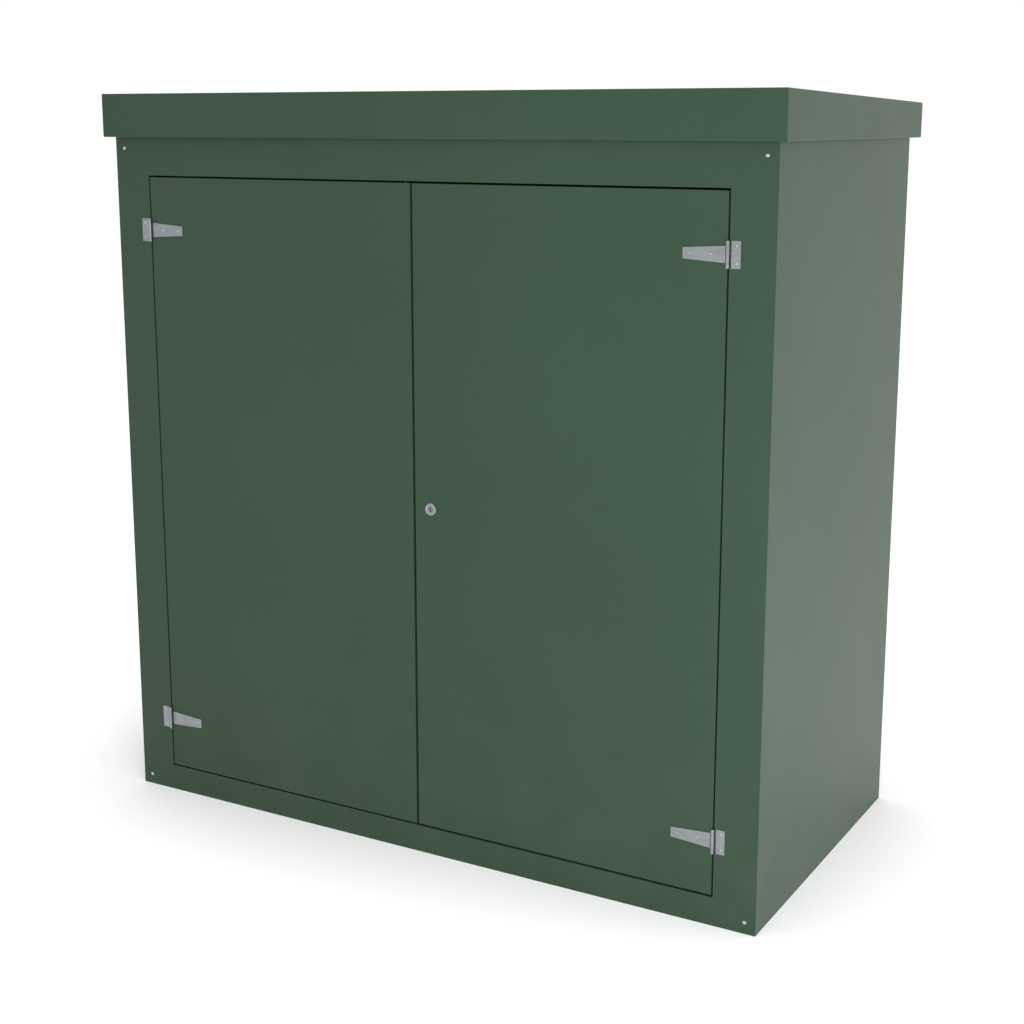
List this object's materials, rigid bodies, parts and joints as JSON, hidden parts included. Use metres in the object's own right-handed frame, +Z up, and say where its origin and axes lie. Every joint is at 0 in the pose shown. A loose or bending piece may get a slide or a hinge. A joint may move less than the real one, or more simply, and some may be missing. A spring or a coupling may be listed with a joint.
{
  "type": "fibreglass walk-in enclosure",
  "caption": "Free-standing fibreglass walk-in enclosure with a pair of outward-opening doors on tee hinges, a keyed lock and an overhanging mono-pitch roof cap.",
  "frame": {"origin": "on the ground under the middle of the roof", "axes": "+Z up, the doors face -Y, +X to the right when facing the doors"},
  "size_m": [2.05, 1.05, 2.07],
  "materials": {
    "gelcoat": "smooth semi-gloss dark green gel coat outside, flow-coated green inside",
    "angle_alloy": "mill-finished aluminium angle",
    "seal_rubber": "matt black rubber",
    "hinge_steel": "satin stainless steel",
    "fastener_steel": "zinc-plated steel",
    "lock_metal": "satin chromed lock"
  },
  "bodies": {
    "carcass": {"left_wall": "gelcoat", "right_wall": "gelcoat", "back_wall": "gelcoat", "front_left_jamb": "gelcoat", "front_right_jamb": "gelcoat", "front_head": "gelcoat", "front_sill": "gelcoat", "roof_cap": "gelcoat", "corner_angle_front_left": "angle_alloy", "corner_angle_front_right": "angle_alloy", "corner_angle_back_left": "angle_alloy", "corner_angle_back_right": "angle_alloy", "base_angle_front": "angle_alloy", "base_angle_back": "angle_alloy", "base_angle_left": "angle_alloy", "base_angle_right": "angle_alloy", "top_angle_front": "angle_alloy", "top_angle_back": "angle_alloy", "top_angle_left": "angle_alloy", "top_angle_right": "angle_alloy", "corner_bolts": "fastener_steel", "door_rim": "gelcoat", "door_stop": "gelcoat", "door_seal": "seal_rubber", "left_hinge_plates": "hinge_steel", "right_hinge_plates": "hinge_steel", "hinge_pins": "hinge_steel", "hinge_plate_screws": "fastener_steel"},
    "left_door": {"left_door": "gelcoat", "left_strap_upper": "hinge_steel", "left_strap_lower": "hinge_steel", "left_strap_screws": "fastener_steel", "slot_plates": "fastener_steel"},
    "right_door": {"right_door": "gelcoat", "right_strap_upper": "hinge_steel", "right_strap_lower": "hinge_steel", "right_strap_screws": "fastener_steel", "lock_barrel": "lock_metal", "lock_nut": "fastener_steel"},
    "lock": {"lock_plug": "lock_metal", "lock_cam": "fastener_steel", "cam_nut": "fastener_steel"},
    "top_bolt": {"top_flush_bolt": "fastener_steel"},
    "bottom_bolt": {"bottom_flush_bolt": "fastener_steel"}
  },
  "joints": [
    {"name": "left_door_hinge", "type": "hinge", "parent": "carcass", "child": "left_door", "pos_m": [-0.881, -0.5055, 0], "axis": [0, 0, -1], "range_deg": [0, 180]},
    {"name": "right_door_hinge", "type": "hinge", "parent": "carcass", "child": "right_door", "pos_m": [0.881, -0.5055, 0], "axis": [0, 0, 1], "range_deg": [0, 180]},
    {"name": "lock_turn", "type": "hinge", "parent": "right_door", "child": "lock", "pos_m": [0.053, -0.5, 0.984], "axis": [0, 1, 0], "range_deg": [0, 90]},
    {"name": "top_bolt_slide", "type": "slide", "parent": "left_door", "child": "top_bolt", "axis": [0, 0, 1], "range_m": [0, 0.014]},
    {"name": "bottom_bolt_slide", "type": "slide", "parent": "left_door", "child": "bottom_bolt", "axis": [0, 0, -1], "range_m": [0, 0.014]}
  ]
}
